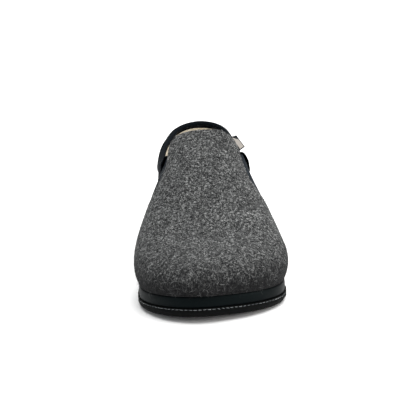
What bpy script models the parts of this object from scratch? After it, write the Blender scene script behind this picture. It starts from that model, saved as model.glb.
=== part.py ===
"""A closed felt slipper for the left foot, standing on its sole.

Toe towards -Y, heel towards +Y, medial side towards -X, +Z up. Metres.
"along" is the share of the sole's length from the heel's back (0) to the toe's tip (1).
"""

import math

import bmesh
import bpy
import numpy as np

# Driving dimensions
SOLE_LENGTH = 0.288
BALL_WIDTH = 0.1100
WAIST_WIDTH = 0.074
HEEL_WIDTH = 0.069
TOE_SPRING = 0.0050
ARCH_LIFT = 0.002
OUTSOLE_FOREFOOT = 0.0066
OUTSOLE_HEEL = 0.0100
BAND_FOREFOOT = 0.0079
BAND_HEEL = 0.0130
INSOLE_THICKNESS = 0.0040
UPPER_WALL = 0.0028
TOE_BOX_HEIGHT = 0.0520
INSTEP_HEIGHT = 0.1134
HEEL_HEIGHT = 0.0958
UPPER_BULGE = 0.0040
BULGE_HEIGHT = 0.0220
CLEARANCE = 0.0003

# How far each outline lies inside the outsole's
BAND_SETBACK = 0.0010
FEATHER_SETBACK = 0.0016
INSOLE_EASE = 0.0004

# The outsole's side, from the floor up
FLOOR_EDGE_TUCK = 0.0028
FLOOR_EDGE_RISE = 0.0016
GROOVE_WIDTH = 0.0012
GROOVE_DEPTH = 0.0005
GROOVE_BELOW_TOP = 0.0005
TOP_EDGE_TUCK = 0.0002
BAND_CROWN = 0.0005
INSOLE_EDGE = 0.0008

# The tread
TREAD_DEPTH = 0.0018
TREAD_SLOT = 0.0030
TREAD_PITCH = 0.0105
TREAD_RIM = 0.0085
TREAD_BEND = 0.0040
TREAD_ZONES = ((0.09, 0.25), (0.57, 0.86))

# The gores and the collar
GORE_THICKNESS = 0.0014
GORE_RECESS = 0.0007
GORE_EASE = 0.0006
GORE_BOTTOM = 0.056
GORE_FRONT = (0.645, 0.515)
GORE_FRONT_CURVE = {"medial": 3.0, "lateral": 4.2}
GORE_REAR = (0.500, 0.385)
GORE_TOP_AT_VAMP = 0.093
COLLAR_SWEEP = 1.5
BINDING_WIDTH = 0.0080
BINDING_THICKNESS = 0.0009
BINDING_EASE = 0.0004
BINDING_TOP_EASE = 0.0009
BINDING_SHOULDER = 0.3
BINDING_START = 0.0020
LABEL_LENGTH = 0.0090
LABEL_REACH = 0.0085
LABEL_THICKNESS = 0.0008
LABEL_TOP = 0.918 * INSTEP_HEIGHT
LABEL_INSET = 0.0012
LABEL_GAP = 0.0008
# The directions in which the label's top and bottom edges stand off
LABEL_LEANS = ((0.70, 0.70, -0.13), (0.19, 0.96, 0.03))

# Where the sole's lift and thickness change, as along
SPRING_START = 0.80
SPRING_POWER = 1.7
HEEL_ROLL = 0.0005
HEEL_ROLL_END = 0.05
ARCH_RISE = (0.27, 0.38)
ARCH_FALL = (0.44, 0.55)
WEDGE = (0.28, 0.62)

# Fan centres of the rounded ends, and where the ridge starts to drift towards the toe's tip
TOE_CENTRE = 0.83
HEEL_CENTRE = 0.125
RIDGE_DRIFT = (0.50, 0.90)
RIDGE_DRIFT_SHARE = 0.6

# Mesh density
OUTLINE_POINTS = 720
TOE_RAYS = 18
HEEL_RAYS = 14
VAMP_SPANS = 7
GORE_SPANS = 5
QUARTER_SPANS = 6
LOW_ROWS = 5
HIGH_ROWS = 13
GORE_ROWS = 9
PATH_STEPS = (10, 60)
SLAB_RINGS = (0.0, 0.45, 0.8, 1.0)
SETTLING_PASSES = 6
SLOPE_STEP = 0.0005

# The sole seen from above. Each row: along, the width it follows, and its medial and lateral shares.
SOLE_OUTLINE = (
    (0.030, "heel", 0.290, 0.310),
    (0.090, "heel", 0.450, 0.480),
    (0.160, "heel", 0.485, 0.515),
    (0.270, "heel", 0.480, 0.520),
    (0.400, "waist", 0.475, 0.545),
    (0.530, "ball", 0.378, 0.395),
    (0.630, "ball", 0.424, 0.465),
    (0.720, "ball", 0.468, 0.512),
    (0.800, "ball", 0.477, 0.537),
    (0.875, "ball", 0.450, 0.492),
    (0.940, "ball", 0.352, 0.345),
    (0.984, "ball", 0.215, 0.115),
)
TOE_TIP_SHIFT = -0.060

# The upper's sections. Each row: along; the ridge's height, from 0 at the toe box to 1 at the instep;
# fullness, the power of the section's curve; and the bulge past the sole and its height, as shares.
UPPER_SECTIONS = (
    (0.000, 1.05, 1.60, 1.00, 1.00),
    (0.125, 1.05, 1.60, 1.00, 1.00),
    (0.300, 1.06, 2.2, 0.60, 0.90),
    (0.400, 1.06, 2.4, 0.60, 0.85),
    (0.515, 1.00, 2.35, 0.60, 0.75),
    (0.600, 0.74, 2.4, 0.80, 0.70),
    (0.720, 0.35, 2.3, 1.00, 0.65),
    (0.830, 0.00, 2.5, 0.85, 0.55),
    (0.920, -0.08, 2.6, 0.60, 0.48),
    (1.000, -0.11, 2.6, 0.45, 0.45),
)

# The topline behind the vamp. Each row: along, and the height in shares of the heel's.
TOPLINE = (
    (0.000, 1.00),
    (0.125, 0.950),
    (0.250, 0.870),
    (0.385, 0.855),
)

# Heights at which the wall's rows change pitch, at the two rounded ends
TOE_SPLIT = 0.033
HEEL_SPLIT = 0.050

MEDIAL = -1
LATERAL = 1


def clear_scene():
    for old in list(bpy.data.objects):
        bpy.data.objects.remove(old, do_unlink=True)


def material(name, colour, roughness):
    made = bpy.data.materials.new(name)
    made.use_nodes = True
    shader = made.node_tree.nodes["Principled BSDF"]
    shader.inputs["Base Color"].default_value = (*colour, 1.0)
    shader.inputs["Roughness"].default_value = roughness
    shader.inputs["Metallic"].default_value = 0.0
    return made


def mix(low, high, share):
    return low + (high - low) * share


def smooth(knots, values, at):
    """A curve through the values, with the slope at each knot taken from its neighbours."""
    knots = np.asarray(knots, float)
    values = np.asarray(values, float)
    slopes = np.gradient(values, knots, axis=0)
    place = np.clip(np.searchsorted(knots, at, side="right") - 1, 0, len(knots) - 2)
    span = knots[place + 1] - knots[place]
    share = (at - knots[place]) / span
    if values.ndim > 1:
        span = span[:, None]
        share = share[:, None]
    rise = share * share * (3.0 - 2.0 * share)
    leave = share * (1.0 - share) ** 2
    arrive = share * share * (share - 1.0)
    lifted = mix(values[place], values[place + 1], rise)
    return lifted + span * (leave * slopes[place] + arrive * slopes[place + 1])


def y_at(along):
    return (0.5 - along) * SOLE_LENGTH


def along_at(y):
    return 0.5 - y / SOLE_LENGTH


def column(table, index):
    return [row[index] for row in table]


def sole_outline():
    """The outsole's outline, from the toe's tip round the medial side and back on the lateral one."""
    widths = {"heel": HEEL_WIDTH, "waist": WAIST_WIDTH, "ball": BALL_WIDTH}
    points = [(TOE_TIP_SHIFT * BALL_WIDTH, y_at(1.0))]
    for along, size, medial, _ in reversed(SOLE_OUTLINE):
        points.append((-medial * widths[size], y_at(along)))
    points.append((0.0, y_at(0.0)))
    for along, size, _, lateral in SOLE_OUTLINE:
        points.append((lateral * widths[size], y_at(along)))
    points = np.array(points)
    wrapped = np.concatenate([points[-3:], points, points[:4]])
    steps = np.linalg.norm(np.diff(wrapped, axis=0), axis=1)
    knots = np.concatenate([[0.0], np.cumsum(steps)])
    start = knots[3]
    end = knots[3 + len(points)]
    return smooth(knots, wrapped, np.linspace(start, end, OUTLINE_POINTS, endpoint=False))


def inset(outline, distance):
    """The closed outline moved inwards."""
    ahead = np.roll(outline, -1, axis=0) - np.roll(outline, 1, axis=0)
    ahead /= np.linalg.norm(ahead, axis=1)[:, None]
    inward = np.stack([-ahead[:, 1], ahead[:, 0]], axis=1)
    middle = outline.mean(axis=0)
    if ((middle - outline) * inward).sum() < 0:
        inward = -inward
    return outline + distance * inward


def distance_to(outline, origin, direction):
    """How far a level ray from inside the outline runs until it meets it."""
    ends = np.roll(outline, -1, axis=0)
    edge = ends - outline
    to_start = outline - origin
    cross = direction[0] * edge[:, 1] - direction[1] * edge[:, 0]
    cross = np.where(np.abs(cross) < 1e-12, 1e-12, cross)
    along_ray = (to_start[:, 0] * edge[:, 1] - to_start[:, 1] * edge[:, 0]) / cross
    along_edge = (to_start[:, 0] * direction[1] - to_start[:, 1] * direction[0]) / cross
    met = (along_ray > 0) & (along_edge >= 0) & (along_edge <= 1)
    return float(along_ray[met].min())


def ramp(low, high, value):
    share = min(max((value - low) / (high - low), 0.0), 1.0)
    return share * share * (3.0 - 2.0 * share)


def spring(along):
    """How far the front of the shoe curls up from the floor."""
    toe = max(0.0, (along - SPRING_START) / (1.0 - SPRING_START))
    return TOE_SPRING * toe**SPRING_POWER


def floor_lift(along):
    """The underside's height: toe spring in front, a low arch at the waist, and flat spots between."""
    heel = max(0.0, 1.0 - along / HEEL_ROLL_END)
    arch = ramp(*ARCH_RISE, along) * (1.0 - ramp(*ARCH_FALL, along))
    return spring(along) + ARCH_LIFT * arch + HEEL_ROLL * heel**2


def heel_share(along):
    """1 where the sole is as thick as at the heel, 0 where it is as thin as at the forefoot."""
    return 1.0 - ramp(*WEDGE, along)


def outsole_top(along):
    return spring(along) + mix(OUTSOLE_FOREFOOT, OUTSOLE_HEEL, heel_share(along))


def band_bottom(along):
    return outsole_top(along) + CLEARANCE


def feather_height(along):
    return band_bottom(along) + mix(BAND_FOREFOOT, BAND_HEEL, heel_share(along))


def ridge_height(along):
    share = smooth(column(UPPER_SECTIONS, 0), column(UPPER_SECTIONS, 1), along)
    return TOE_BOX_HEIGHT + (INSTEP_HEIGHT - TOE_BOX_HEIGHT) * share


def section_value(index, along):
    return smooth(column(UPPER_SECTIONS, 0), column(UPPER_SECTIONS, index), along)


OUTLINE = sole_outline()
FEATHER = inset(OUTLINE, FEATHER_SETBACK)


def spine_x(along):
    """The ridge's place across the shoe: it drifts towards the toe's tip in front."""
    return ramp(*RIDGE_DRIFT, along) * RIDGE_DRIFT_SHARE * TOE_TIP_SHIFT * BALL_WIDTH


def fan_ray(along, angle):
    """A ray from an end's centre. Angle 0 points to the toe, a quarter turn to the lateral side."""
    origin = np.array([spine_x(along), y_at(along)])
    direction = np.array([math.sin(angle), -math.cos(angle)])
    return origin, direction


def reach_of(ray):
    origin, direction = ray
    return distance_to(FEATHER, origin, direction)


class Wall:
    """The last's surface along one level ray."""

    def __init__(self, ray):
        self.origin, self.direction = ray
        self.reach = reach_of(ray)
        foot = self.origin + self.reach * self.direction
        along = float(np.clip(along_at(foot[1]), 0.0, 1.0))
        self.floor = feather_height(along) + CLEARANCE
        self.bulge = UPPER_BULGE * section_value(3, along)
        self.waist = self.floor + BULGE_HEIGHT * section_value(4, along)
        self.fullness = section_value(2, along)

    def ridge(self, out):
        along = along_at(self.origin[1] + out * self.direction[1])
        return ridge_height(min(max(along, 0.0), 1.0))

    def low_out(self, height):
        """The distance out, at a height below the widest line."""
        gone = (self.waist - height) / (self.waist - self.floor)
        return self.reach + self.bulge * (1.0 - gone * gone)

    def high(self, turn):
        """(distance out, height) above the widest line, for a turn of 0 there to a quarter at the ridge."""
        widest = self.reach + self.bulge
        out = widest * max(math.cos(turn), 0.0) ** (2.0 / self.fullness)
        lift = math.sin(turn) ** (2.0 / self.fullness)
        return out, self.waist + (self.ridge(out) - self.waist) * lift

    def out_at(self, height):
        """The distance out at a height, for rays whose ridge is level."""
        if height <= self.waist:
            return self.low_out(height)
        share = min((height - self.waist) / (self.ridge(0.0) - self.waist), 1.0)
        return (self.reach + self.bulge) * (1.0 - share**self.fullness) ** (1.0 / self.fullness)

    def point(self, out, height):
        foot = self.origin + out * self.direction
        return np.array([foot[0], foot[1], height])


def spine_wall(side, y):
    return Wall((np.array([spine_x(along_at(y)), y]), np.array([float(side), 0.0])))


def gore_edges(side, height):
    """The y of the vamp's edge and of the quarter's, at a height."""
    curve = GORE_FRONT_CURVE["medial" if side == MEDIAL else "lateral"]
    share = min(max((height - GORE_BOTTOM) / (GORE_TOP_AT_VAMP - GORE_BOTTOM), 0.0), 1.0)
    front = mix(GORE_FRONT[0], GORE_FRONT[1], share**curve)
    rear = mix(GORE_REAR[0], GORE_REAR[1], share)
    return y_at(front), y_at(rear)


def topline(along):
    """The collar's height behind the vamp."""
    if along >= GORE_REAR[1]:
        last = TOPLINE[-1][1] * HEEL_HEIGHT
        share = (along - GORE_REAR[1]) / (GORE_FRONT[1] - GORE_REAR[1])
        return mix(last, GORE_TOP_AT_VAMP, min(share, 1.0) ** COLLAR_SWEEP)
    return HEEL_HEIGHT * smooth(column(TOPLINE, 0), column(TOPLINE, 1), max(along, 0.0))


def column_y(side, region, share, height):
    """A wall column's y at a height. Columns lean with the edges of the gore."""
    front, rear = gore_edges(side, height)
    if region == "vamp":
        return mix(y_at(TOE_CENTRE), front, share)
    if region == "gore":
        return mix(front, rear, share)
    return mix(rear, y_at(HEEL_CENTRE), share)


def walk(points, spans):
    """The points of a dense path, spaced evenly into this many spans."""
    steps = np.linalg.norm(np.diff(points, axis=0), axis=1)
    gone = np.concatenate([[0.0], np.cumsum(steps)])
    wanted = np.linspace(0.0, gone[-1], spans + 1)
    return np.stack([np.interp(wanted, gone, points[:, axis]) for axis in range(3)], axis=1)


def split_path(path, height):
    """A rising path cut at a height, with a point put in there."""
    index = int(np.argmax(path[:, 2] >= height))
    share = (height - path[index - 1, 2]) / (path[index, 2] - path[index - 1, 2])
    cut = mix(path[index - 1], path[index], share)
    return np.vstack([path[:index], cut]), np.vstack([cut, path[index:]])


def column_points(path, split, top):
    """The rows of one wall column, from the feather line to its top."""
    low, high = split_path(path, split)
    if top is not None:
        high, _ = split_path(high, top)
    return np.vstack([walk(low, LOW_ROWS), walk(high, HIGH_ROWS)[1:]])


def fan_path(wall):
    """The whole profile on a ray of a rounded end."""
    heights = np.linspace(wall.floor, wall.waist, PATH_STEPS[0])
    low = [wall.point(wall.low_out(height), height) for height in heights]
    turns = np.linspace(0.0, math.pi / 2, PATH_STEPS[1])[1:]
    return np.array(low + [wall.point(*wall.high(turn)) for turn in turns])


def side_path(side, region, share):
    """The whole profile on one side, along a column that may lean."""
    found = []
    y = column_y(side, region, share, 0.0)
    wall = spine_wall(side, y)
    for height in np.linspace(wall.floor, wall.waist, PATH_STEPS[0]):
        found.append(wall.point(wall.low_out(height), height))
    for turn in np.linspace(0.0, math.pi / 2, PATH_STEPS[1])[1:]:
        for _ in range(SETTLING_PASSES):
            wall = spine_wall(side, y)
            out, height = wall.high(turn)
            y = column_y(side, region, share, height)
        found.append(wall.point(out, height))
    return np.array(found)


def wall_columns():
    """Every column of the upper: a key, its points, and which rows the felt has."""
    columns = []
    turn = math.pi / TOE_RAYS
    half = TOE_RAYS // 2
    for step in range(0, -half, -1):
        path = fan_path(Wall(fan_ray(TOE_CENTRE, step * turn)))
        columns.append(("toe", column_points(path, TOE_SPLIT, None)))
    columns += side_columns(MEDIAL)
    heel_turn = math.pi / HEEL_RAYS
    for step in range(1, HEEL_RAYS):
        wall = Wall(fan_ray(HEEL_CENTRE, -math.pi / 2 - step * heel_turn))
        foot = wall.origin + wall.reach * wall.direction
        top = topline(along_at(foot[1]))
        columns.append(("heel", column_points(fan_path(wall), HEEL_SPLIT, top)))
    columns += reversed(side_columns(LATERAL))
    for step in range(half - 1, 0, -1):
        path = fan_path(Wall(fan_ray(TOE_CENTRE, step * turn)))
        columns.append(("toe", column_points(path, TOE_SPLIT, None)))
    return columns


def side_columns(side):
    """The columns of one side, from the toe's centre to the heel's."""
    bottom = GORE_BOTTOM
    found = []
    for step in range(VAMP_SPANS + 1):
        share = step / VAMP_SPANS
        split = mix(TOE_SPLIT, bottom, share)
        region = "edge" if step == VAMP_SPANS else "vamp"
        found.append((region, column_points(side_path(side, "vamp", share), split, None)))
    for step in range(1, GORE_SPANS):
        path = side_path(side, "gore", step / GORE_SPANS)
        found.append(("gore", column_points(path, bottom, None)))
    for step in range(QUARTER_SPANS + 1):
        share = step / QUARTER_SPANS
        path = side_path(side, "quarter", share)
        split = mix(bottom, HEEL_SPLIT, share)
        top = HEEL_HEIGHT
        for _ in range(SETTLING_PASSES):
            top = topline(along_at(column_y(side, "quarter", share, top)))
        region = "edge" if step == 0 else "quarter"
        found.append((region, column_points(path, split, top)))
    return found


def new_object(name, mesh_builder, made_of):
    """An object from a finished bmesh, shaded round but for its sharp edges."""
    mesh = bpy.data.meshes.new(name)
    mesh_builder.to_mesh(mesh)
    mesh_builder.free()
    obj = bpy.data.objects.new(name, mesh)
    bpy.context.scene.collection.objects.link(obj)
    mesh.materials.append(made_of)
    mesh.shade_smooth()
    mesh.set_sharp_from_angle(angle=math.radians(40.0))
    return obj


def solidify(obj, thickness, offset):
    wall = obj.modifiers.new("Wall", "SOLIDIFY")
    wall.thickness = thickness
    wall.offset = offset
    wall.use_even_offset = True
    return wall


def grid_faces(built, rows, closed, keep):
    """Quads between neighbouring columns of vertices, where keep says so."""
    count = len(rows)
    for index in range(count if closed else count - 1):
        following = (index + 1) % count
        for row in range(len(rows[index]) - 1):
            if not keep(index, following, row):
                continue
            corners = (
                rows[index][row],
                rows[following][row],
                rows[following][row + 1],
                rows[index][row + 1],
            )
            built.faces.new(corners)


def make_upper(felt):
    columns = wall_columns()
    built = bmesh.new()
    rows = [[built.verts.new(point) for point in points] for _, points in columns]

    def felt_here(index, following, row):
        pair = {columns[index][0], columns[following][0]}
        return row < LOW_ROWS or "gore" not in pair

    grid_faces(built, rows, True, felt_here)
    loose = [vert for vert in built.verts if not vert.link_faces]
    bmesh.ops.delete(built, geom=loose, context="VERTS")
    bmesh.ops.remove_doubles(built, verts=built.verts, dist=1e-5)
    bmesh.ops.recalc_face_normals(built, faces=built.faces)
    upper = new_object("upper", built, felt)
    solidify(upper, UPPER_WALL, -1.0)
    return upper


def wall_normal(side, y, height):
    """The outward direction of a side's outer face."""
    step = SLOPE_STEP
    across = side_point(side, y + step, height) - side_point(side, y - step, height)
    up = side_point(side, y, height + step) - side_point(side, y, height - step)
    normal = np.cross(across, up)
    normal /= np.linalg.norm(normal)
    return normal * (1.0 if normal[0] * side > 0 else -1.0)


def side_point(side, y, height):
    wall = spine_wall(side, y)
    return wall.point(wall.out_at(height), height)


def beside_edge(edge, height, ease):
    """The y beside one of the felt's edges at a height, with the ease measured square to the edge."""
    slopes = np.gradient(edge[:, 1], edge[:, 2])
    slope = np.interp(height, edge[:, 2], slopes)
    return np.interp(height, edge[:, 2], edge[:, 1]) + ease * math.hypot(1.0, slope)


def make_gore(name, side, elastic):
    """An elastic panel in the notch, set back a little from the felt's face."""
    bottom = GORE_BOTTOM + CLEARANCE
    vamp_edge = column_points(side_path(side, "vamp", 1.0), GORE_BOTTOM, None)
    quarter_edge = column_points(side_path(side, "quarter", 0.0), GORE_BOTTOM, None)
    built = bmesh.new()
    verts = []
    for step in range(GORE_SPANS + 1):
        made = []
        for row in range(GORE_ROWS + 1):
            height = bottom
            y = 0.0
            for _ in range(SETTLING_PASSES):
                front = beside_edge(vamp_edge, height, GORE_EASE)
                rear = beside_edge(quarter_edge, height, -GORE_EASE)
                y = mix(front, rear, step / GORE_SPANS)
                height = mix(bottom, topline(along_at(y)), row / GORE_ROWS)
            place = side_point(side, y, height) - GORE_RECESS * wall_normal(side, y, height)
            made.append(built.verts.new(place))
        verts.append(made)
    grid_faces(built, verts, False, lambda index, following, row: True)
    bmesh.ops.recalc_face_normals(built, faces=built.faces)
    if sum(face.normal.x for face in built.faces) * side < 0:
        bmesh.ops.reverse_faces(built, faces=built.faces)
    gore = new_object(name, built, elastic)
    solidify(gore, GORE_THICKNESS, -1.0)
    return gore


def collar_stations():
    """Rays and topline heights from the medial vamp edge round the heel to the lateral one."""
    def side_stations(side):
        found = []
        start, _ = gore_edges(side, GORE_TOP_AT_VAMP)
        start += BINDING_START
        _, rear = gore_edges(side, topline(GORE_REAR[1]))
        for step in range(GORE_SPANS):
            found.append((side, mix(start, rear, step / GORE_SPANS)))
        for step in range(QUARTER_SPANS + 1):
            found.append((side, mix(rear, y_at(HEEL_CENTRE), step / QUARTER_SPANS)))
        return [(spine_wall(side, y), topline(along_at(y))) for side, y in found]

    stations = side_stations(MEDIAL)
    heel_turn = math.pi / HEEL_RAYS
    for step in range(1, HEEL_RAYS):
        wall = Wall(fan_ray(HEEL_CENTRE, -math.pi / 2 - step * heel_turn))
        foot = wall.origin + wall.reach * wall.direction
        stations.append((wall, topline(along_at(foot[1]))))
    return stations + side_stations(LATERAL)[::-1]


def beside_felt(wall, height, out):
    """A point this far out from the felt's face, square to it at the height."""
    run = wall.out_at(height) - wall.out_at(height - SLOPE_STEP)
    lean = math.hypot(run, SLOPE_STEP)
    return wall.point(wall.out_at(height) + out * SLOPE_STEP / lean, height - out * run / lean)


def make_binding(tape):
    """A strip folded over the topline: an outer leg, a rounded top and an inner leg."""
    near = BINDING_EASE
    far = near + BINDING_THICKNESS
    inner = -UPPER_WALL - near
    inmost = inner - BINDING_THICKNESS
    shoulder = BINDING_SHOULDER * UPPER_WALL
    fold = -BINDING_TOP_EASE
    crown = fold - BINDING_THICKNESS
    half = BINDING_WIDTH / 2
    # Each corner of the section: depth below the topline, and distance out from the felt's face
    section = (
        (BINDING_WIDTH, near), (BINDING_WIDTH, far), (half, far), (0.0, far),
        (crown, near - shoulder), (crown, inner + shoulder),
        (0.0, inmost), (half, inmost), (BINDING_WIDTH, inmost),
        (BINDING_WIDTH, inner), (half, inner), (fold, inner),
        (fold, near), (half, near),
    )
    built = bmesh.new()
    rings = []
    for wall, top in collar_stations():
        ring = [built.verts.new(beside_felt(wall, top - depth, out)) for depth, out in section]
        rings.append(ring)
    for ring, following in zip(rings, rings[1:]):
        for index in range(len(ring)):
            after = (index + 1) % len(ring)
            built.faces.new((ring[index], ring[after], following[after], following[index]))
    built.faces.new(rings[0])
    built.faces.new(rings[-1])
    bmesh.ops.recalc_face_normals(built, faces=built.faces)
    return new_object("collar_binding", built, tape)


def slab_stations():
    """Rays round the whole sole, closed."""
    stations = []
    turn = math.pi / TOE_RAYS
    half = TOE_RAYS // 2
    for step in range(0, -half, -1):
        stations.append(fan_ray(TOE_CENTRE, step * turn))
    spans = VAMP_SPANS + GORE_SPANS + QUARTER_SPANS
    shares = [step / spans for step in range(spans + 1)]
    for share in shares:
        along = mix(TOE_CENTRE, HEEL_CENTRE, share)
        stations.append(fan_ray(along, -math.pi / 2))
    heel_turn = math.pi / HEEL_RAYS
    for step in range(1, HEEL_RAYS):
        stations.append(fan_ray(HEEL_CENTRE, -math.pi / 2 - step * heel_turn))
    for share in reversed(shares):
        along = mix(TOE_CENTRE, HEEL_CENTRE, share)
        stations.append(fan_ray(along, math.pi / 2))
    for step in range(half - 1, 0, -1):
        stations.append(fan_ray(TOE_CENTRE, step * turn))
    return stations


def make_slab(name, outline, side_rows, bottom, top, made_of):
    """A sole layer. Each side row, from the floor up: its setback from the outline, its share of the
    height, and a height to add."""
    built = bmesh.new()
    low_edge = inset(outline, side_rows[0][0])
    high_edge = inset(outline, side_rows[-1][0])
    columns = []
    for ray in slab_stations():
        origin, direction = ray
        made = []

        def place(out, height_of):
            foot = origin + out * direction
            along = min(max(along_at(foot[1]), 0.0), 1.0)
            return built.verts.new((foot[0], foot[1], height_of(along)))

        low_reach = distance_to(low_edge, origin, direction)
        for share in SLAB_RINGS[:-1]:
            made.append(place(share * low_reach, bottom))
        for setback, share, extra in side_rows:
            reach = distance_to(inset(outline, setback), origin, direction)
            made.append(place(reach, lambda along: mix(bottom(along), top(along), share) + extra))
        high_reach = distance_to(high_edge, origin, direction)
        for share in reversed(SLAB_RINGS[:-1]):
            made.append(place(share * high_reach, top))
        columns.append(made)
    grid_faces(built, columns, True, lambda index, following, row: True)
    bmesh.ops.remove_doubles(built, verts=built.verts, dist=1e-6)
    bmesh.ops.dissolve_degenerate(built, edges=built.edges, dist=1e-6)
    bmesh.ops.recalc_face_normals(built, faces=built.faces)
    return new_object(name, built, made_of)


def tread_cutter():
    """Bent bars across the underside, inside a plain rim."""
    edge = inset(OUTLINE, TREAD_RIM)
    built = bmesh.new()
    for start, end in TREAD_ZONES:
        room = (end - start) * SOLE_LENGTH
        count = int(room / TREAD_PITCH)
        for index in range(count + 1):
            y = y_at(start) - index * room / count
            add_bar(built, edge, y)
    bmesh.ops.recalc_face_normals(built, faces=built.faces)
    mesh = bpy.data.meshes.new("tread_cutter")
    built.to_mesh(mesh)
    built.free()
    cutter = bpy.data.objects.new("tread_cutter", mesh)
    bpy.context.scene.collection.objects.link(cutter)
    cutter.hide_render = True
    cutter.display_type = "WIRE"
    return cutter


def add_bar(built, edge, y):
    """One bar of the tread, bent forwards in its middle."""
    origin = np.array([0.0, y])
    left = -distance_to(edge, origin, np.array([-1.0, 0.0]))
    right = distance_to(edge, origin, np.array([1.0, 0.0]))
    middle = 0.5 * (left + right)
    lift = floor_lift(along_at(y))
    rings = []
    for x, bend in ((left, 0.0), (middle, -TREAD_BEND), (right, 0.0)):
        ring = []
        below = -2 * TREAD_DEPTH
        for back, height in ((0.5, below), (-0.5, below), (-0.5, TREAD_DEPTH), (0.5, TREAD_DEPTH)):
            ring.append(built.verts.new((x, y + bend + back * TREAD_SLOT, lift + height)))
        rings.append(ring)
    for ring, following in zip(rings, rings[1:]):
        for index in range(4):
            after = (index + 1) % 4
            built.faces.new((ring[index], ring[after], following[after], following[index]))
    built.faces.new(rings[0])
    built.faces.new(rings[-1])


def make_outsole(rubber):
    low = FLOOR_EDGE_RISE
    groove_top = -GROOVE_BELOW_TOP
    groove_bottom = groove_top - GROOVE_WIDTH
    rows = (
        (FLOOR_EDGE_TUCK, 0.0, 0.0),
        (0.3 * FLOOR_EDGE_TUCK, 0.0, low),
        (0.0, 0.0, 2 * low),
        (0.0, 1.0, groove_bottom),
        (GROOVE_DEPTH, 1.0, groove_bottom + 0.25 * GROOVE_WIDTH),
        (GROOVE_DEPTH, 1.0, groove_top - 0.25 * GROOVE_WIDTH),
        (0.0, 1.0, groove_top),
        (TOP_EDGE_TUCK, 1.0, 0.0),
    )
    outsole = make_slab("outsole", OUTLINE, rows, floor_lift, outsole_top, rubber)
    cut = outsole.modifiers.new("Tread", "BOOLEAN")
    cut.operation = "DIFFERENCE"
    cut.solver = "EXACT"
    cut.object = tread_cutter()
    return outsole


def make_midsole(cover):
    rows = (
        (BAND_SETBACK, 0.0, 0.0),
        (BAND_SETBACK - 0.5 * BAND_CROWN, 0.3, 0.0),
        (BAND_SETBACK - 0.5 * BAND_CROWN, 0.7, 0.0),
        (BAND_SETBACK + 0.5 * BAND_CROWN, 1.0, 0.0),
    )
    return make_slab("midsole", OUTLINE, rows, band_bottom, feather_height, cover)


def make_insole(fleece):
    edge = inset(FEATHER, UPPER_WALL + INSOLE_EASE)

    def low(along):
        return feather_height(along) + CLEARANCE

    def high(along):
        return low(along) + INSOLE_THICKNESS

    rows = ((0.0, 0.0, 0.0), (0.0, 0.75, 0.0), (INSOLE_EDGE, 1.0, 0.0))
    return make_slab("insole", edge, rows, low, high, fleece)


def make_label(woven):
    """A flat flag label at the lateral vamp edge, standing out from the seam."""
    side = LATERAL
    built = bmesh.new()
    rings = []
    roots = []
    for height in (LABEL_TOP, LABEL_TOP - LABEL_LENGTH):
        edge, _ = gore_edges(side, height)
        y = edge - LABEL_INSET
        roots.append(side_point(side, y, height) + LABEL_GAP * wall_normal(side, y, height))
    face = np.cross(np.add(*LABEL_LEANS), roots[1] - roots[0])
    face /= np.linalg.norm(face)
    across = 0.5 * LABEL_THICKNESS * face
    for root, lean in zip(roots, LABEL_LEANS):
        tip = root + LABEL_REACH * (np.array(lean) - np.dot(lean, face) * face)
        corners = (root - across, tip - across, tip + across, root + across)
        rings.append([built.verts.new(place) for place in corners])
    for index in range(4):
        after = (index + 1) % 4
        built.faces.new((rings[0][index], rings[0][after], rings[1][after], rings[1][index]))
    built.faces.new(rings[0])
    built.faces.new(rings[1])
    bmesh.ops.recalc_face_normals(built, faces=built.faces)
    return new_object("label_tab", built, woven)


def centre(objects):
    """Shifts the meshes so that the shoe's box is centred over the origin, with the sole at height 0."""
    bpy.context.view_layer.update()
    graph = bpy.context.evaluated_depsgraph_get()
    low = np.full(3, np.inf)
    high = np.full(3, -np.inf)
    for obj in objects:
        evaluated = obj.evaluated_get(graph)
        for vert in evaluated.to_mesh().vertices:
            low = np.minimum(low, vert.co)
            high = np.maximum(high, vert.co)
        evaluated.to_mesh_clear()
    shift = -0.5 * (low + high)
    shift[2] = -low[2]
    for obj in bpy.data.objects:
        for vert in obj.data.vertices:
            vert.co = vert.co + type(vert.co)(shift)


def main():
    clear_scene()
    rubber = material("rubber", (0.010, 0.011, 0.011), 0.65)
    cover = material("band cover", (0.012, 0.014, 0.015), 0.45)
    fleece = material("fleece", (0.60, 0.55, 0.45), 0.95)
    felt = material("felt", (0.105, 0.108, 0.110), 0.95)
    elastic = material("elastic", (0.012, 0.017, 0.022), 0.80)
    tape = material("tape", (0.004, 0.006, 0.010), 0.75)
    woven = material("woven label", (0.40, 0.38, 0.36), 0.80)
    made = [
        make_outsole(rubber),
        make_midsole(cover),
        make_insole(fleece),
        make_upper(felt),
        make_gore("gore_medial", MEDIAL, elastic),
        make_gore("gore_lateral", LATERAL, elastic),
        make_binding(tape),
        make_label(woven),
    ]
    centre(made)


main()
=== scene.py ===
"""Looks of a closed felt slipper for the left foot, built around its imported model.

Toe towards -Y, medial side towards -X, +Z up. Metres.
"""

import math
import random

import bmesh
import bpy
import numpy as np
from mathutils import Matrix, Vector
from mathutils.bvhtree import BVHTree


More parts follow.
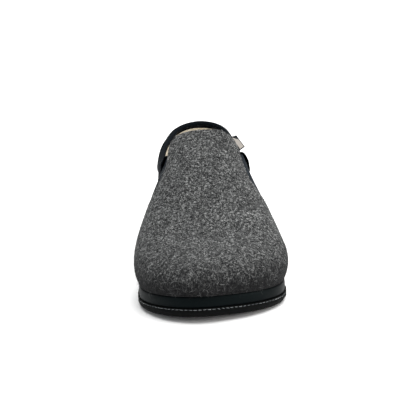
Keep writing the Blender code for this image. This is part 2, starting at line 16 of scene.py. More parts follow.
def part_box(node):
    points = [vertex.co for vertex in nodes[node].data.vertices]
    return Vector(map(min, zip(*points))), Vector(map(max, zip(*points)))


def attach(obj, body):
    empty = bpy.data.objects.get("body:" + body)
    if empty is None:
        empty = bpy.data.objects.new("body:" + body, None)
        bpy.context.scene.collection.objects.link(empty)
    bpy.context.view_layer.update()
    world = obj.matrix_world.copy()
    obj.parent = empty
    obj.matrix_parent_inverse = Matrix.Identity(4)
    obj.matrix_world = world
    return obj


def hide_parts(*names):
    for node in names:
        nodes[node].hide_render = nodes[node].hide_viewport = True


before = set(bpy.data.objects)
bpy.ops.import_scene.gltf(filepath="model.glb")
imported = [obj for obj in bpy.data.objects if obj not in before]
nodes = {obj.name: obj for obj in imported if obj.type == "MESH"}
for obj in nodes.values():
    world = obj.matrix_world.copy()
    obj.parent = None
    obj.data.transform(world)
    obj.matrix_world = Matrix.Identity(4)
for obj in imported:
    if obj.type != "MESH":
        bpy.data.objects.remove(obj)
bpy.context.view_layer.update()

# Camera, fitted to the photograph
CAMERA_ELEVATION = math.radians(14.32)
CAMERA_AZIMUTH = math.radians(-0.79)
CAMERA_ROLL = math.radians(2.01)
CAMERA_DISTANCE = 0.9848
CAMERA_AIM = (0.0, 0.0, 0.0388)
PICTURE = 416
FOCAL_PIXELS = 1210.0
PICTURE_CENTRE = (208.0, 220.0)
SENSOR = 36.0
CLIP_START = 0.01

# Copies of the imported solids: how they are cleaned and rounded
MERGE_DISTANCE = 2e-6
QUAD_FACE_ANGLE = math.radians(35.0)
QUAD_SHAPE_ANGLE = math.radians(60.0)
ROUNDING_LEVELS = 2
SOFT_SHARP = math.radians(45.0)
SOFT_CREASE = 0.5
BAND_CREASE = 0.75

# Felt shell and its lining
FELT_SHARP = math.radians(50.0)
FELT_RIM_CREASE = 0.6
WALL_START = 0.0004
WALL_REACH = 0.0050
LINING_GAP = 0.0004

# Felt pattern: three lays of strands, each with a turn, a scale and a weight
FELT_STRANDS = (
    ((0.3, 0.2, 0.1), 480.0, 0.50),
    ((1.2, 0.5, 0.9), 560.0, 0.45),
    ((0.4, 1.3, 2.1), 520.0, 0.45),
)
STRAND_STRETCH = 0.42
STRAND_HALF_WIDTH = 0.055
CLUMP_WEIGHT = 0.70
PIT_WEIGHT = 0.50
STRAND_WEIGHT = 0.27
DRIFT_WEIGHT = 0.10

# Painted shade: where the felt darkens towards the band, and how far
SHADED_BELOW = 0.050
SHADED_FULLY = 0.018
SHADED_SHARE = 0.95
FIBRE_SHADED = 0.74

# Single fibres on the felt
FIBRE_COUNT = 17000
FIBRE_SPARE = 2.1
FIBRE_LENGTH = (0.0018, 0.0050)
FIBRE_WIDTH = (0.00016, 0.00034)
FIBRE_STEPS = 4
FIBRE_CURL = 0.22
FIBRE_RISE = (0.00002, 0.00022)
FIBRE_CLEAR = 0.00003
FIBRE_LANDS_EARLY = 1.15
FIBRE_THINS = 0.65
FIBRE_LOWEST_NORMAL = -0.6

# Fibres that stand off the felt
LOOSE_FIBRES = 700
LOOSE_STRETCH = 1.35
LOOSE_RISE = (0.0004, 0.0012)

# Fibres that hang over the band
HANGING_FIBRES = 70
HANGING_BELOW = 0.0225
HANGING_FRONT = -0.060
HANGING_LENGTH = (0.0025, 0.0065)
HANGING_CLEAR = 0.0012
HANGING_STRAY = 0.45
HANGING_DROP = 0.35

# Greys of the fibres, as picture levels
PALE_BASE = 48
PALE_SPREAD = 118
DARK_BASE = 4
DARK_SPREAD = 18
DARK_SHARE = 0.42
COOL_CAST = 1.01

# How the soft pieces have settled: a middle, a reach and a shift each
SETTLING = (
    ((0.017, -0.004, 0.106), (0.013, 0.030, 0.020), (0.0006, 0.0, 0.0036)),
    ((-0.022, -0.004, 0.106), (0.012, 0.030, 0.009), (-0.0020, 0.0, 0.0020)),
    ((-0.034, -0.010, 0.086), (0.012, 0.024, 0.014), (0.0036, 0.0, 0.0)),
    ((-0.038, 0.055, 0.072), (0.020, 0.034, 0.024), (-0.0034, 0.0, 0.0)),
    ((-0.034, 0.085, 0.088), (0.020, 0.045, 0.022), (-0.0034, 0.0, 0.0)),
    ((0.0, 0.134, 0.100), (0.060, 0.050, 0.025), (0.0, 0.0, 0.0019)),
    ((0.0, 0.0, 0.115), (0.050, 0.040, 0.030), (0.0, 0.0, 0.0009)),
)

# The line that runs inside the foot's room
CORE_TOE = -0.090
CORE_HEEL = 0.100
CORE_HEIGHT = 0.036

# The binding's inner leg, as a share of its outer one, and how it thins out to its front ends
INNER_LEG = 0.77
TOPLINE_REACH = 0.005
END_TAPER = 0.28
END_FULL = 0.026

# Search for the outsole's top edge, by rays that come in from outside
RIM_RAYS = 720
RIM_END_RADIUS = 0.045
RIM_RAY_START = 0.2
RIM_RAY_LENGTH = 0.3
RIM_HIGHEST = 0.0145
RIM_STEP = 0.00015
RIM_STEPS = 60
RIM_LEAST_RADIUS = 0.01
RIM_OVERSHOOT = 0.0002
LEAST_LENGTH = 1e-9

# Stitches in the sole's groove
STITCH_PITCH = 0.0034
STITCH_LENGTH = 0.0029
STITCH_THICKNESS = 0.0006
STITCH_HEIGHT_SHARE = 1.05
STITCH_VARIES = (0.88, 1.1)
STITCH_TILT = 0.10
STITCH_WANDERS = 0.00008
STITCH_SINKS = 0.45
RIM_LENGTH_SHARE = 0.25
GROOVE_BELOW_TOP = 0.0011
GROOVE_DEPTH = 0.0005

# Label
LABEL_FLAT = math.radians(5.0)
LABEL_SHARP = math.radians(40.0)
LABEL_BORDER = 0.0013
LABEL_REACH = 0.0085
LABEL_LEANS = ((0.62, 0.77, 0.02), (0.20, 0.96, -0.05))
LABEL_SHIFT = (-0.0016, 0.0, -0.0006)

# Studio: an overhead softbox, a card on each side (name, place, power, colour) and the floor
WORLD_STRENGTH = 0.45
OVERHEAD_STRENGTH = 4.2
OVERHEAD_SPREAD = math.radians(75.0)
OVERHEAD_TURN = (math.radians(-9.0), math.radians(8.0), 0.0)
CARDS = (
    ("left card", (-0.9, -0.5, 0.30), 1.0, (0.90, 0.98, 1.0)),
    ("right card", (0.9, -0.5, 0.20), 6.0, (1.0, 0.98, 0.95)),
)
CARD_SIZE = (0.5, 0.6)
CARD_AIM = (0.0, 0.0, 0.05)
FLOOR_REACH = 6.0

SEED = 11


def linear(*levels):
    """A colour from picture levels of 0 to 255."""
    made = []
    for level in levels:
        share = level / 255.0
        made.append(share / 12.92 if share <= 0.04045 else ((share + 0.055) / 1.055) ** 2.4)
    return (*made, 1.0)


# Painted shade: the near black that the felt and its fibres go over into towards the band
FELT_PAINTED_SHADE = linear(6, 6, 8)
FELT_TONES = (
    (0.50, linear(6, 6, 8)),
    (0.64, linear(34, 35, 36)),
    (0.80, linear(74, 75, 75)),
    (0.94, linear(146, 147, 146)),
)
FLEECE_TONES = (
    (0.36, linear(208, 198, 178)),
    (0.55, linear(240, 233, 218)),
    (0.78, linear(253, 249, 240)),
)
THREAD_TONES = (
    (0.40, linear(66, 70, 74)),
    (0.58, linear(112, 116, 118)),
    (0.75, linear(168, 170, 170)),
)


class Value:
    """A shader socket that takes part in plain arithmetic."""

    def __init__(self, shader, socket):
        self.shader = shader
        self.socket = socket

    def maths(self, operation, *entries):
        made = self.shader.node("ShaderNodeMath", {"operation": operation}, dict(enumerate(entries)))
        return Value(self.shader, made.outputs[0])

    def __add__(self, other):
        return self.maths("ADD", self, other)

    __radd__ = __add__

    def __sub__(self, other):
        return self.maths("SUBTRACT", self, other)

    def __rsub__(self, other):
        return self.maths("SUBTRACT", other, self)

    def __mul__(self, other):
        return self.maths("MULTIPLY", self, other)

    __rmul__ = __mul__

    def __abs__(self):
        return self.maths("ABSOLUTE", self)


class Finish:
    """A material under construction."""

    def __init__(self, name):
        self.material = bpy.data.materials.new(name)
        self.material.use_nodes = True
        self.tree = self.material.node_tree
        self.surface = self.tree.nodes["Principled BSDF"]

    def node(self, kind, settings=None, sockets=None):
        """Any node: its settings first, then the values or links of its sockets."""
        made = self.tree.nodes.new(kind)
        for name, value in (settings or {}).items():
            if name == "stops":
                self.stops(made, value)
            else:
                setattr(made, name, value)
        for name, value in (sockets or {}).items():
            self.feed(made.inputs[name], value)
        return made

    def stops(self, ramp, stops):
        """The places and colours of a colour ramp."""
        points = ramp.color_ramp.elements
        while len(points) < len(stops):
            points.new(0.5)
        for point, (place, colour) in zip(points, stops):
            point.position = place
            point.color = colour

    def feed(self, socket, value):
        """Links a socket to a value, or sets it where the value is a constant."""
        if isinstance(value, Value):
            self.tree.links.new(value.socket, socket)
        elif isinstance(value, bpy.types.NodeSocket):
            self.tree.links.new(value, socket)
        else:
            socket.default_value = value

    def place(self):
        return self.node("ShaderNodeTexCoord").outputs["Object"]

    def stretched(self, place, scale, turn=(0.0, 0.0, 0.0)):
        sockets = {"Vector": place, "Scale": scale, "Rotation": turn}
        return self.node("ShaderNodeMapping", sockets=sockets).outputs["Vector"]

    def noise(self, place, scale, detail=2.0, roughness=0.5, distortion=0.0):
        sockets = {
            "Vector": place,
            "Scale": scale,
            "Detail": detail,
            "Roughness": roughness,
            "Distortion": distortion,
        }
        return Value(self, self.node("ShaderNodeTexNoise", sockets=sockets).outputs["Fac"])

    def rows(self, place, direction, scale, distortion):
        """Even rows across one direction."""
        settings = {"wave_type": "BANDS", "bands_direction": direction}
        sockets = {"Vector": place, "Scale": scale, "Distortion": distortion}
        return Value(self, self.node("ShaderNodeTexWave", settings, sockets).outputs["Fac"])

    def ramp(self, value, stops):
        return self.node("ShaderNodeValToRGB", {"stops": stops}, {"Fac": value}).outputs["Color"]

    def span(self, value, low, high):
        """0 below low, 1 above high, smooth between them."""
        settings = {"interpolation_type": "SMOOTHSTEP"}
        sockets = {"Value": value, "From Min": low, "From Max": high}
        return Value(self, self.node("ShaderNodeMapRange", settings, sockets).outputs["Result"])

    def blend(self, share, first, second):
        """One colour that goes over into another as share goes from 0 to 1."""
        made = self.node("ShaderNodeMix", {"data_type": "RGBA"}, {"Factor": share})
        colours = [socket for socket in made.inputs if socket.type == "RGBA"]
        self.feed(colours[0], first)
        self.feed(colours[1], second)
        return next(socket for socket in made.outputs if socket.type == "RGBA")

    def bump(self, height, strength, distance):
        sockets = {"Height": height, "Strength": strength, "Distance": distance}
        self.set(Normal=self.node("ShaderNodeBump", sockets=sockets).outputs["Normal"])

    def set(self, **sockets):
        """Sockets of the surface shader, with underscores for the spaces in their names."""
        for name, value in sockets.items():
            self.feed(self.surface.inputs[name.replace("_", " ")], value)


def felt_finish():
    """Grey melange wool felt: pale and dark fibres, matted in small clumps."""
    felt = Finish("grey wool felt")
    place = felt.place()
    strands = None
    for turn, scale, weight in FELT_STRANDS:
        laid = felt.stretched(place, (scale, scale, STRAND_STRETCH * scale), turn)
        wave = felt.noise(laid, scale=1.0, roughness=0.55, distortion=0.6)
        strand = (1.0 - felt.span(abs(wave - 0.5), 0.0, STRAND_HALF_WIDTH)) * weight
        strands = strand if strands is None else strands + strand
    clumps = felt.noise(place, scale=560.0, detail=3.0, roughness=0.64)
    drift = felt.noise(place, scale=60.0)
    pits = felt.noise(place, scale=900.0, roughness=0.6)
    tone = clumps * CLUMP_WEIGHT + pits * PIT_WEIGHT + strands * STRAND_WEIGHT + drift * DRIFT_WEIGHT
    # Painted shade: the felt's colour goes over into near black towards the band
    colour = felt.blend(painted_low_shade(felt, place), felt.ramp(tone, FELT_TONES), FELT_PAINTED_SHADE)
    felt.set(Base_Color=colour, Roughness=0.95, Specular_IOR_Level=0.08)
    felt.set(Sheen_Weight=0.04, Sheen_Roughness=0.6)
    felt.bump(tone, strength=0.70, distance=0.0009)
    return felt.material


def painted_low_shade(finish, place):
    """How far painted shade darkens the felt towards the band, where it turns under."""
    height = finish.node("ShaderNodeSeparateXYZ", sockets={"Vector": place}).outputs["Z"]
    return (1.0 - finish.span(height, SHADED_FULLY, SHADED_BELOW)) * SHADED_SHARE


def fibre_finish():
    """Single wool fibres, each in its own grey."""
    wool = Finish("wool fibres")
    shade = wool.node("ShaderNodeAttribute", {"attribute_name": "shade"}).outputs["Color"]
    # Painted shade: the fibres go over into near black towards the band too, somewhat less than the felt
    colour = wool.blend(painted_low_shade(wool, wool.place()) * FIBRE_SHADED, shade, FELT_PAINTED_SHADE)
    wool.set(Base_Color=colour, Roughness=0.9, Specular_IOR_Level=0.1)
    return wool.material


def cover_finish():
    """The smooth band: a soft sheen over very fine grain."""
    cover = Finish("black band cover")
    place = cover.place()
    grain = cover.noise(place, scale=900.0, detail=3.0, roughness=0.6)
    cloud = cover.noise(place, scale=55.0, detail=3.0, roughness=0.55)
    dust = cover.span(cover.noise(place, scale=480.0, roughness=0.7), 0.66, 0.76)
    worn = cover.blend(cloud, linear(2, 3, 4), linear(7, 10, 11))
    colour = cover.blend(dust * 0.22, worn, linear(36, 40, 40))
    cover.set(Base_Color=colour, Roughness=0.36 + cloud * 0.22)
    cover.set(Specular_IOR_Level=0.05, Specular_Tint=(0.70, 0.98, 1.0, 1.0))
    cover.bump(grain * 0.6 + cloud, strength=0.12, distance=0.0004)
    return cover.material


def rubber_finish():
    """Moulded rubber: matt, with a fine pebbled skin."""
    rubber = Finish("black moulded rubber")
    place = rubber.place()
    pebble = rubber.noise(place, scale=620.0, roughness=0.6)
    cloud = rubber.noise(place, scale=80.0, detail=3.0, roughness=0.55)
    scuff = rubber.span(rubber.noise(place, scale=260.0, detail=4.0, roughness=0.7), 0.62, 0.74)
    colour = rubber.blend(scuff * 0.4, linear(6, 7, 7), linear(28, 30, 30))
    rubber.set(Base_Color=colour, Roughness=0.55 + cloud * 0.25, Specular_IOR_Level=0.05)
    rubber.bump(pebble, strength=0.35, distance=0.0005)
    return rubber.material


def tape_finish():
    """Binding tape: a very fine twill in near black."""
    tape = Finish("black binding tape")
    place = tape.place()
    laid = tape.stretched(place, (1.0, 1.0, 1.0), (0.5, 0.6, 0.4))
    ridge = tape.rows(laid, "DIAGONAL", scale=420.0, distortion=0.6)
    cloud = tape.noise(place, scale=120.0)
    colour = tape.blend(ridge * 0.5 + cloud * 0.3, linear(2, 6, 10), linear(8, 14, 21))
    tape.set(Base_Color=colour, Roughness=0.78, Specular_IOR_Level=0.06)
    tape.bump(ridge, strength=0.25, distance=0.0003)
    return tape.material


def elastic_finish():
    """Ribbed elastic: upright ribs about a millimetre apart, crossed by fine threads."""
    elastic = Finish("black ribbed elastic")
    place = elastic.place()
    rib = elastic.rows(place, "Y", scale=260.0, distortion=0.3)
    thread = elastic.noise(elastic.stretched(place, (900.0, 300.0, 1500.0)), scale=1.0, detail=1.0)
    colour = elastic.blend(rib * 0.7 + thread * 0.3, linear(6, 11, 16), linear(30, 37, 44))
    elastic.set(Base_Color=colour, Roughness=0.80, Specular_IOR_Level=0.08)
    elastic.bump(rib + thread * 0.4, strength=0.5, distance=0.0004)
    return elastic.material


def fleece_finish():
    """Cream wool fleece: soft curls with shaded hollows."""
    fleece = Finish("cream fleece")
    place = fleece.place()
    curls = fleece.noise(place, scale=330.0, detail=4.0, roughness=0.62, distortion=1.2)
    tufts = fleece.noise(place, scale=110.0, distortion=0.4)
    pile = curls * 0.65 + tufts * 0.45
    fleece.set(Base_Color=fleece.ramp(pile, FLEECE_TONES), Roughness=0.95)
    fleece.set(Specular_IOR_Level=0.1, Sheen_Weight=0.2)
    fleece.bump(pile, strength=0.7, distance=0.0012)
    return fleece.material


def thread_finish():
    """Pale sewing thread, twisted."""
    thread = Finish("pale sewing thread")
    place = thread.place()
    strands = thread.noise(place, scale=1600.0)
    tone = thread.noise(place, scale=95.0)
    thread.set(Base_Color=thread.ramp(tone * 0.8 + strands * 0.3, THREAD_TONES), Roughness=0.8)
    thread.bump(strands, strength=0.3, distance=0.0002)
    return thread.material


def label_finish():
    """Woven ribbon, left bare."""
    ribbon = Finish("woven label ribbon")
    weave = ribbon.rows(ribbon.place(), "Z", scale=700.0, distortion=0.2)
    colour = ribbon.blend(weave, linear(128, 123, 118), linear(160, 155, 149))
    ribbon.set(Base_Color=colour, Roughness=0.75, Specular_IOR_Level=0.1)
    ribbon.bump(weave, strength=0.3, distance=0.0002)
    return ribbon.material


def selvedge_finish():
    """The label's dark edge, with fine rows of its own."""
    edge = Finish("dark label edge")
    rows = edge.stretched(edge.place(), (400.0, 400.0, 2200.0))
    weave = edge.noise(rows, scale=1.0, detail=1.0)
    colour = edge.blend(weave, linear(9, 10, 12), linear(34, 35, 38))
    edge.set(Base_Color=colour, Roughness=0.8, Specular_IOR_Level=0.08)
    edge.bump(weave, strength=0.3, distance=0.0002)
    return edge.material


def floor_finish():
    """The studio floor: nearly white, with a faint cloud."""
    floor = Finish("pale floor")
    cloud = floor.noise(floor.place(), scale=3.0)
    colour = floor.blend(cloud, linear(252, 252, 252), linear(255, 255, 255))
    floor.set(Base_Color=colour, Roughness=0.9, Specular_IOR_Level=0.1)
    return floor.material


def clean_copy(node):
    """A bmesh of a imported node, its loose triangles joined back into quads and its points settled."""
    shape = bmesh.new()
    shape.from_mesh(nodes[node].data)
    bmesh.ops.remove_doubles(shape, verts=shape.verts, dist=MERGE_DISTANCE)
    bmesh.ops.join_triangles(
        shape,
        faces=shape.faces,
        angle_face_threshold=QUAD_FACE_ANGLE,
        angle_shape_threshold=QUAD_SHAPE_ANGLE,
    )
    for vert in shape.verts:
        vert.co += settled(vert.co)
    shape.normal_update()
    return shape


def settled(place):
    """How far the soft pieces have settled at one place; next to nothing down at the sole."""
    total = Vector()
    for middle, reach, shift in SETTLING:
        away = sum(((at - centre) / width) ** 2 for at, centre, width in zip(place, middle, reach))
        total += math.exp(-away) * Vector(shift)
    return total


def crease_sharp(shape, angle, amount):
    """Holds the sharp edges when the shape is subdivided."""
    crease = shape.edges.layers.float.get("crease_edge") or shape.edges.layers.float.new("crease_edge")
    for edge in shape.edges:
        if len(edge.link_faces) == 2 and edge.calc_face_angle(0.0) > angle:
            edge[crease] = amount


def finished(name, shape, material, levels=0, smooth_angle=None):
    """A piece of the shoe from a bmesh."""
    mesh = bpy.data.meshes.new(name)
    shape.to_mesh(mesh)
    shape.free()
    piece = bpy.data.objects.new(name, mesh)
    bpy.context.scene.collection.objects.link(piece)
    mesh.materials.append(material)
    mesh.shade_smooth()
    if smooth_angle is not None:
        mesh.set_sharp_from_angle(angle=smooth_angle)
    if levels:
        rounding = piece.modifiers.new("Rounding", "SUBSURF")
        rounding.levels = levels
        rounding.render_levels = levels
    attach(piece, "root")
    return piece


def make_felt_upper():
    """The felt shell, rounded."""
    shape = clean_copy("upper")
    crease_sharp(shape, FELT_SHARP, FELT_RIM_CREASE)
    upper = finished("felt_upper", shape, felt_finish(), levels=ROUNDING_LEVELS)
    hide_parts("upper")
    return upper


def evaluated_mesh(piece):
    """The piece's mesh with its modifiers applied."""
    graph = bpy.context.evaluated_depsgraph_get()
    return bpy.data.meshes.new_from_object(piece.evaluated_get(graph))


def looks_in(place, normal):
    """Whether a face at a place looks into the foot's room."""
    core = Vector((0.0, min(max(place.y, CORE_TOE), CORE_HEEL), CORE_HEIGHT))
    return normal.dot(place - core) < 0


def inner_faces(shape):
    """The faces on the inside of the upper: they look at the foot's core and lie on the wall, not its rim."""
    tree = BVHTree.FromBMesh(shape)
    found = []
    for face in shape.faces:
        centre = face.calc_center_median()
        _, _, _, wall = tree.ray_cast(centre - WALL_START * face.normal, -face.normal, WALL_REACH)
        if wall is not None and looks_in(centre, face.normal):
            found.append(face)
    return found


def make_lining():
    """A thin fleece that covers the inside of the felt."""
    shape = clean_copy("upper")
    keep = set(inner_faces(shape))
    bmesh.ops.delete(shape, geom=[face for face in shape.faces if face not in keep], context="FACES")
    bmesh.ops.delete(shape, geom=[vert for vert in shape.verts if not vert.link_faces], context="VERTS")
    shape.normal_update()
    for vert in shape.verts:
        vert.co += LINING_GAP * vert.normal
    lining = finished("fleece_lining", shape, fleece_finish(), levels=ROUNDING_LEVELS)


def make_soft_copy(node, name, material, crease=SOFT_CREASE, shape=None):
    """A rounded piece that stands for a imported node, from the node's own shape unless another is given."""
    shape = shape or clean_copy(node)
    crease_sharp(shape, SOFT_SHARP, crease)
    piece = finished(name, shape, material, levels=ROUNDING_LEVELS)
    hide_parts(node)


def make_collar():
    """The binding, its inner leg drawn up so that the lining shows below it."""
    shape = clean_copy("collar_binding")
    felt = clean_copy("upper")
    tree = BVHTree.FromBMesh(felt)
    felt.free()
    places = np.array([vert.co for vert in shape.verts])
    for vert, place in zip(shape.verts, places):
        spot, normal, _, _ = tree.find_nearest(vert.co)
        if looks_in(spot, normal):
            near = np.linalg.norm(places[:, :2] - place[:2], axis=1) < TOPLINE_REACH
            top = float(places[near, 2].max())
            vert.co.z = top - (top - vert.co.z) * INNER_LEG
        else:
            fullness = END_TAPER + (1.0 - END_TAPER) * min(max(vert.co.y / END_FULL, 0.0), 1.0)
            vert.co = spot + fullness * (vert.co - spot)
    shape.normal_update()
    make_soft_copy("collar_binding", "collar_tape", tape_finish(), shape=shape)


def scatter(mesh, count, seed):
    """Random points on a mesh's faces, spread by area, with normals, tangents and their generator."""
    mesh.calc_loop_triangles()
    corners = np.zeros(3 * len(mesh.loop_triangles), dtype=np.int32)
    mesh.loop_triangles.foreach_get("vertices", corners)
    corners = corners.reshape(-1, 3)
    places = np.zeros(3 * len(mesh.vertices))
    mesh.vertices.foreach_get("co", places)
    places = places.reshape(-1, 3)
    first, second, third = (places[corners[:, index]] for index in range(3))
    cross = np.cross(second - first, third - first)
    areas = np.linalg.norm(cross, axis=1)
    picker = np.random.default_rng(seed)
    chosen = picker.choice(len(areas), size=count, p=areas / areas.sum())
    u = picker.random(count)
    v = picker.random(count)
    over = u + v > 1.0
    u[over], v[over] = 1.0 - u[over], 1.0 - v[over]
    spots = first[chosen] + u[:, None] * (second - first)[chosen] + v[:, None] * (third - first)[chosen]
    normals = cross[chosen] / areas[chosen][:, None]
    wild = picker.normal(size=(count, 3))
    tangents = wild - (wild * normals).sum(axis=1)[:, None] * normals
    tangents /= np.linalg.norm(tangents, axis=1)[:, None]
    return spots, normals, tangents, picker


def fibre_strip(start, normal, along, length, width, curl, rise):
    """Pairs of edge points along one curled fibre that lies on the felt."""
    side = np.cross(normal, along)
    pairs = []
    for step in range(FIBRE_STEPS + 1):
        share = step / FIBRE_STEPS
        bow = curl * (share - share * share) * length * 4.0
        lift = rise * math.sin(math.pi * min(share * FIBRE_LANDS_EARLY, 1.0)) + FIBRE_CLEAR
        centre = start + along * (share - 0.5) * length + side * bow + normal * lift
        half = 0.5 * width * (1.0 - FIBRE_THINS * abs(2.0 * share - 1.0))
        pairs.append((centre - side * half, centre + side * half))
    return pairs


def fibre_colour(picker):
    """The grey of one fibre: more often pale, sometimes nearly black."""
    level = PALE_BASE + PALE_SPREAD * picker.random() ** 2.0
    if picker.random() < DARK_SHARE:
        level = DARK_BASE + DARK_SPREAD * picker.random()
    return linear(level, level * COOL_CAST, level * COOL_CAST)


def make_nap(felt_mesh):
    """Single fibres on the felt's outer face: most lie flat, some stand off and a few hang over the band."""
    spots, normals, tangents, picker = scatter(felt_mesh, int(FIBRE_COUNT * FIBRE_SPARE), SEED)
    verts = []
    faces = []
    shades = []
    made = 0
    hanging = 0
    for spot, normal, tangent in zip(spots, normals, tangents):
        if made >= FIBRE_COUNT:
            break
        if looks_in(Vector(spot), Vector(normal)) or normal[2] < FIBRE_LOWEST_NORMAL:
            continue
        made += 1
        loose = picker.random() < LOOSE_FIBRES / FIBRE_COUNT
        length = picker.uniform(*FIBRE_LENGTH) * (LOOSE_STRETCH if loose else 1.0)
        width = picker.uniform(*FIBRE_WIDTH)
        rise = picker.uniform(*(LOOSE_RISE if loose else FIBRE_RISE))
        if hanging < HANGING_FIBRES and spot[2] < HANGING_BELOW and spot[1] < HANGING_FRONT:
            hanging += 1
            length = picker.uniform(*HANGING_LENGTH)
            tangent = HANGING_STRAY * tangent + np.array((0.0, 0.0, -1.0))
            tangent /= np.linalg.norm(tangent)
            spot = spot + HANGING_CLEAR * normal + HANGING_DROP * length * tangent
        pairs = fibre_strip(spot, normal, tangent, length, width, picker.normal() * FIBRE_CURL, rise)
        start = len(verts)
        for low, high in pairs:
            verts += [low, high]
        for step in range(FIBRE_STEPS):
            corner = start + 2 * step
            faces.append((corner, corner + 2, corner + 3, corner + 1))
        shades += [fibre_colour(picker)] * (2 * (FIBRE_STEPS + 1))
    mesh = bpy.data.meshes.new("felt_nap")
    mesh.from_pydata([tuple(vert) for vert in verts], [], faces)
    layer = mesh.color_attributes.new("shade", "FLOAT_COLOR", "POINT")
    layer.data.foreach_set("color", np.array(shades, dtype=np.float32).ravel())
    mesh.materials.append(fibre_finish())
    nap = bpy.data.objects.new("felt_nap", mesh)
    bpy.context.scene.collection.objects.link(nap)
    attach(nap, "root")


def sole_rim():
    """The outsole's outline at its stitch groove, as an ordered closed loop of points."""
    shape = clean_copy("outsole")
    tree = BVHTree.FromBMesh(shape)
    shape.free()
    low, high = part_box("outsole")
    centre = Vector((0.5 * (low.x + high.x), 0.5 * (low.y + high.y), 0.0))
    half_length = 0.5 * (high.y - low.y) - RIM_END_RADIUS
    loop = []
    for index in range(RIM_RAYS):
        angle = 2.0 * math.pi * (index / RIM_RAYS)
        direction = Vector((math.sin(angle), -math.cos(angle), 0.0))
        origin = centre + Vector((0.0, -math.cos(angle) * half_length, 0.0))
        point = groove_point(tree, origin, direction)
        if point is not None:
            loop.append(point)
    return loop


def groove_point(tree, origin, direction):
    """The groove's point on one ray: just under the highest place where the ray meets the outsole."""
    far = origin + RIM_RAY_START * direction
    for step in range(RIM_STEPS):
        height = RIM_HIGHEST - RIM_STEP * step
        hit, _, _, _ = tree.ray_cast(Vector((far.x, far.y, height)), -direction, RIM_RAY_LENGTH)
        if hit is None:
            continue
        if (hit - Vector((origin.x, origin.y, height))).dot(direction) > RIM_LEAST_RADIUS:
            return Vector((hit.x, hit.y, hit.z - GROOVE_BELOW_TOP + RIM_OVERSHOOT))
    return None


def even_points(loop, pitch):
    """Points spaced evenly round a closed loop, each with its direction of travel."""
    lengths = [(loop[(i + 1) % len(loop)] - loop[i]).length for i in range(len(loop))]
    total = sum(lengths)
    count = int(total / pitch)
    found = []
    index = 0
    gone = 0.0
    for step in range(count):
        wanted = total * step / count
        while gone + lengths[index] < wanted:
            gone += lengths[index]
            index += 1
        share = (wanted - gone) / max(lengths[index], LEAST_LENGTH)
        start, end = loop[index], loop[(index + 1) % len(loop)]
        found.append((start.lerp(end, share), (end - start).normalized()))
    return found


def make_stitches():
    """A running stitch round the sole, laid in its groove."""
    shape = bmesh.new()
    rng = random.Random(SEED)
    for place, travel in even_points(sole_rim(), STITCH_PITCH):
        outward = Vector((-travel.y, travel.x, 0.0))
        if outward.dot(Vector((place.x, place.y * RIM_LENGTH_SHARE, 0.0))) < 0:
            outward = -outward
        outward.normalize()
        made = bmesh.ops.create_icosphere(shape, subdivisions=2, radius=0.5)
        length = STITCH_LENGTH * rng.uniform(*STITCH_VARIES)
        lay = Matrix((travel, outward, Vector((0.0, 0.0, 1.0)))).transposed().to_4x4()
        tilt = Matrix.Rotation(rng.uniform(-STITCH_TILT, STITCH_TILT), 4, "Y")
        size = Matrix.Diagonal((length, STITCH_THICKNESS, STITCH_THICKNESS * STITCH_HEIGHT_SHARE, 1.0))
        spot = place - outward * (STITCH_SINKS * GROOVE_DEPTH)
        spot.z += rng.uniform(-STITCH_WANDERS, STITCH_WANDERS)
        whole = Matrix.Translation(spot) @ lay @ tilt @ size
        bmesh.ops.transform(shape, matrix=whole, verts=made["verts"])
    bmesh.ops.recalc_face_normals(shape, faces=shape.faces)
    stitches = finished("sole_stitches", shape, thread_finish())


def make_label():
    """The flag label: a pale ribbon inside a dark selvedge."""
    shape = clean_copy("label_tab")
    bmesh.ops.dissolve_limit(shape, angle_limit=LABEL_FLAT, verts=shape.verts, edges=shape.edges)
    twist_label(shape)
    broad = sorted(shape.faces, key=lambda face: face.calc_area())[-2:]
    bmesh.ops.inset_individual(shape, faces=broad, thickness=LABEL_BORDER)
    for face in shape.faces:
        face.material_index = 0 if face in broad else 1
    label = finished("label_ribbon", shape, label_finish(), smooth_angle=LABEL_SHARP)
    label.data.materials.append(selvedge_finish())
    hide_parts("label_tab")


def twist_label(shape):
    """Turns the flat label so that its upper corner stands out sideways and its lower one points back."""
    by_height = sorted(shape.verts, key=lambda vert: vert.co.z)
    for group, lean in ((by_height[4:], LABEL_LEANS[0]), (by_height[:4], LABEL_LEANS[1])):
        by_length = sorted(group, key=lambda vert: vert.co.y)
        for root in by_length[:2]:
            root.co += Vector(LABEL_SHIFT)
            tip = min(by_length[2:], key=lambda vert: (vert.co - root.co).length)
            tip.co = root.co + LABEL_REACH * Vector(lean)
    shape.normal_update()


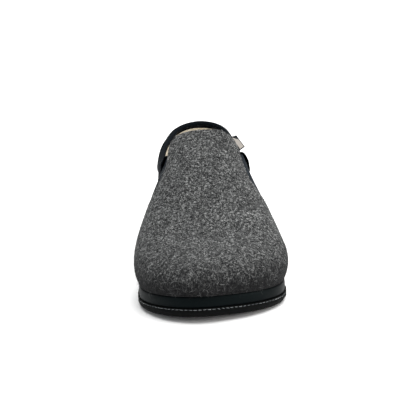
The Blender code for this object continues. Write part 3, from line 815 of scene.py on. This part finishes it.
def add_camera():
    """The photograph's camera: its angle, roll, distance and frame."""
    data = bpy.data.cameras.new("photo camera")
    camera = bpy.data.objects.new("photo camera", data)
    bpy.context.scene.collection.objects.link(camera)
    forward = Vector((
        -math.sin(CAMERA_AZIMUTH) * math.cos(CAMERA_ELEVATION),
        math.cos(CAMERA_AZIMUTH) * math.cos(CAMERA_ELEVATION),
        -math.sin(CAMERA_ELEVATION),
    ))
    right = Vector((math.cos(CAMERA_AZIMUTH), math.sin(CAMERA_AZIMUTH), 0.0))
    up = right.cross(forward)
    rolled_right = right * math.cos(CAMERA_ROLL) - up * math.sin(CAMERA_ROLL)
    rolled_up = right * math.sin(CAMERA_ROLL) + up * math.cos(CAMERA_ROLL)
    place = Vector(CAMERA_AIM) - CAMERA_DISTANCE * forward
    turn = Matrix((rolled_right, rolled_up, -forward)).transposed().to_4x4()
    camera.matrix_world = Matrix.Translation(place) @ turn
    data.sensor_width = SENSOR
    data.lens = FOCAL_PIXELS * SENSOR / PICTURE
    data.shift_x = -(PICTURE_CENTRE[0] - PICTURE / 2) / PICTURE
    data.shift_y = (PICTURE_CENTRE[1] - PICTURE / 2) / PICTURE
    data.clip_start = CLIP_START
    bpy.context.scene.camera = camera


def add_card(name, place, power, colour):
    """A softly lit card beside the shoe, turned to face it."""
    data = bpy.data.lights.new(name, "AREA")
    data.shape = "RECTANGLE"
    data.size, data.size_y = CARD_SIZE
    data.energy = power
    data.color = colour
    lamp = bpy.data.objects.new(name, data)
    bpy.context.scene.collection.objects.link(lamp)
    lamp.location = place
    lamp.rotation_euler = (Vector(CARD_AIM) - Vector(place)).to_track_quat("-Z", "Y").to_euler()


def add_studio():
    """The light round the shoe and the pale floor under it."""
    world = bpy.data.worlds.new("soft studio")
    bpy.context.scene.world = world
    world.use_nodes = True
    backdrop = world.node_tree.nodes["Background"]
    backdrop.inputs["Color"].default_value = (1.0, 1.0, 1.0, 1.0)
    backdrop.inputs["Strength"].default_value = WORLD_STRENGTH
    sky = bpy.data.lights.new("overhead softbox", "SUN")
    sky.energy = OVERHEAD_STRENGTH
    sky.angle = OVERHEAD_SPREAD
    overhead = bpy.data.objects.new("overhead softbox", sky)
    bpy.context.scene.collection.objects.link(overhead)
    overhead.rotation_euler = OVERHEAD_TURN
    for card in CARDS:
        add_card(*card)
    shape = bmesh.new()
    bmesh.ops.create_grid(shape, x_segments=1, y_segments=1, size=FLOOR_REACH)
    mesh = bpy.data.meshes.new("floor")
    shape.to_mesh(mesh)
    shape.free()
    mesh.materials.append(floor_finish())
    floor = bpy.data.objects.new("floor", mesh)
    bpy.context.scene.collection.objects.link(floor)
    bpy.context.scene.view_settings.view_transform = "Standard"


def main():
    add_camera()
    add_studio()
    felt_upper = make_felt_upper()
    make_nap(evaluated_mesh(felt_upper))
    make_lining()
    make_soft_copy("insole", "fleece_insole", fleece_finish())
    make_soft_copy("midsole", "band_cover", cover_finish(), crease=BAND_CREASE)
    make_soft_copy("gore_medial", "elastic_medial", elastic_finish())
    make_soft_copy("gore_lateral", "elastic_lateral", elastic_finish())
    make_collar()
    nodes["outsole"].material_slots[0].material = rubber_finish()
    make_stitches()
    make_label()


main()
